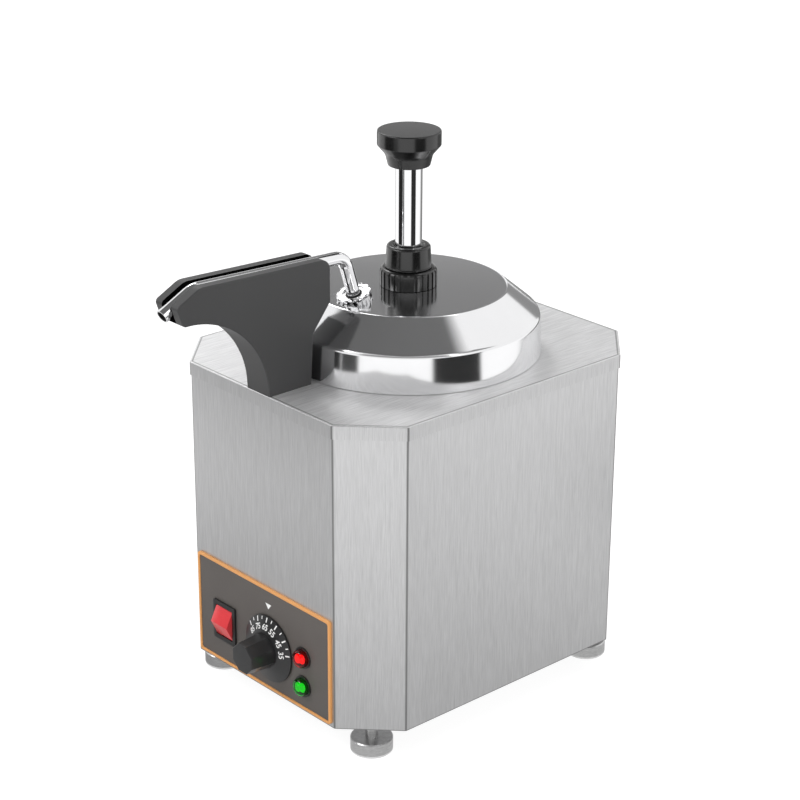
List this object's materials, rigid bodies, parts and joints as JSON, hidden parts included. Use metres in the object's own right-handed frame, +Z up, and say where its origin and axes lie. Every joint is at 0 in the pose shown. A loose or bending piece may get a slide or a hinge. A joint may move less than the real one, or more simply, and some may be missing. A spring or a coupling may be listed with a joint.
{
  "type": "topping warmer",
  "caption": "Countertop warmer for hot topping: brushed steel cabinet, flanged pump lid, plunger knob, arched heated spout, dial, rocker switch and lamps.",
  "frame": {"origin": "middle of the four feet, on the surface the warmer stands on", "axes": "+Z up, -Y towards the user (the side with the control panel and the spout), +X to the user's right"},
  "size_m": [0.248, 0.3991, 0.4499],
  "materials": {
    "brushed_stainless": "brushed stainless sheet",
    "zinc_steel": "zinc-plated steel",
    "pot_stainless": "satin stainless, food grade",
    "mirror_stainless": "polished stainless, mirror bright",
    "polished_steel": "polished steel",
    "black_plastic": "satin black moulded plastic",
    "dark_grey_coating": "satin dark grey coating on cast aluminium",
    "panel_film": "matt dark warm grey",
    "orange_trim": "orange",
    "switch_black": "black",
    "rocker_red": "red, slightly translucent",
    "lens_red": "clear red",
    "lens_green": "clear green",
    "dial_black": "black with white figures",
    "brass_terminal": "brass",
    "heater_sheath": "steel sheath",
    "glass_wool": "mineral wool mat",
    "phenolic_brown": "phenolic moulding",
    "ivory_plastic": "ivory",
    "white_plastic": "white food-grade plastic",
    "silicone_seal": "silicone"
  },
  "bodies": {
    "cabinet": {"cabinet_shell": "brushed_stainless", "top_plate": "brushed_stainless", "base_plate": "brushed_stainless", "base_screws": "zinc_steel", "foot_nuts": "zinc_steel", "sauce_pot": "pot_stainless", "heater_band": "heater_sheath", "band_bolt": "zinc_steel", "band_nut": "zinc_steel", "heater_posts": "brass_terminal", "thermostat_bulb": "brass_terminal", "bulb_clip": "zinc_steel", "capillary_tube": "brass_terminal", "insulation_jacket": "glass_wool", "overheat_cutout": "phenolic_brown", "terminal_block": "ivory_plastic", "terminal_screws": "brass_terminal", "cable_gland": "switch_black", "gland_nut": "switch_black", "control_panel": "panel_film", "panel_border": "orange_trim", "switch_body": "switch_black", "switch_tabs": "brass_terminal", "lamp_bodies": "switch_black", "lamp_nuts": "switch_black", "red_lens": "lens_red", "green_lens": "lens_green", "thermostat_body": "phenolic_brown", "thermostat_screws": "zinc_steel", "spout_housing": "dark_grey_coating", "spout_heater": "heater_sheath", "housing_screws": "zinc_steel"},
    "lid": {"lid": "mirror_stainless", "pump_barrel": "pot_stainless", "pump_seal": "silicone_seal", "guide_collar": "black_plastic", "foot_valve": "pot_stainless", "ball_stop_pin": "pot_stainless", "discharge_pipe": "pot_stainless", "outlet_ferrule": "pot_stainless", "outlet_seal": "silicone_seal", "outlet_wedge": "polished_steel", "spout_tube": "polished_steel"},
    "plunger": {"knob": "black_plastic", "plunger_rod": "polished_steel", "piston": "white_plastic", "piston_seals": "silicone_seal", "return_spring": "polished_steel"},
    "clamp_nut": {"clamp_nut": "black_plastic"},
    "outlet_nut": {"outlet_nut": "polished_steel"},
    "inlet_ball": {"inlet_ball": "polished_steel"},
    "outlet_ball": {"outlet_ball": "polished_steel"},
    "rocker": {"rocker": "rocker_red"},
    "dial": {"dial_skirt": "dial_black", "dial_grip": "dial_black", "thermostat_shaft": "brass_terminal"},
    "foot_front_left": {"foot_front_left": "brushed_stainless"},
    "foot_front_right": {"foot_front_right": "brushed_stainless"},
    "foot_rear_left": {"foot_rear_left": "brushed_stainless"},
    "foot_rear_right": {"foot_rear_right": "brushed_stainless"}
  },
  "joints": [
    {"name": "lid_lift", "type": "slide", "parent": "cabinet", "child": "lid", "axis": [0, 0.4027, 0.9153], "range_m": [0, 0.185]},
    {"name": "plunger_press", "type": "slide", "parent": "lid", "child": "plunger", "axis": [0, 0, -1], "range_m": [0, 0.055], "stiffness_N_per_m": 200, "springref_m": -0.04, "deforming": ["return_spring"]},
    {"name": "clamp_nut_turn", "type": "hinge", "parent": "lid", "child": "clamp_nut", "pos_m": [0, 0, 0.3273], "axis": [0, 0, 1], "range_deg": [0, 360]},
    {"name": "outlet_nut_turn", "type": "hinge", "parent": "lid", "child": "outlet_nut", "pos_m": [0, -0.056, 0.332], "axis": [0, -0.3007, 0.9537], "range_deg": [0, 360]},
    {"name": "inlet_ball_lift", "type": "slide", "parent": "lid", "child": "inlet_ball", "axis": [0, 0, 1], "range_m": [0, 0.003]},
    {"name": "outlet_ball_lift", "type": "slide", "parent": "lid", "child": "outlet_ball", "axis": [0, 0, 1], "range_m": [0, 0.001]},
    {"name": "rocker_tilt", "type": "hinge", "parent": "cabinet", "child": "rocker", "pos_m": [-0.0475, -0.1477, 0.0645], "axis": [1, 0, 0], "range_deg": [-9, 9]},
    {"name": "dial_turn", "type": "hinge", "parent": "cabinet", "child": "dial", "pos_m": [0.0085, -0.1501, 0.0645], "axis": [0, 1, 0], "range_deg": [-96, 68]},
    {"name": "foot_front_left_turn", "type": "hinge", "parent": "cabinet", "child": "foot_front_left", "pos_m": [-0.09225, -0.11825, 0], "axis": [0, 0, 1], "continuous": true},
    {"name": "foot_front_right_turn", "type": "hinge", "parent": "cabinet", "child": "foot_front_right", "pos_m": [0.09225, -0.11825, 0], "axis": [0, 0, 1], "continuous": true},
    {"name": "foot_rear_left_turn", "type": "hinge", "parent": "cabinet", "child": "foot_rear_left", "pos_m": [-0.09225, 0.11825, 0], "axis": [0, 0, 1], "continuous": true},
    {"name": "foot_rear_right_turn", "type": "hinge", "parent": "cabinet", "child": "foot_rear_right", "pos_m": [0.09225, 0.11825, 0], "axis": [0, 0, 1], "continuous": true}
  ]
}
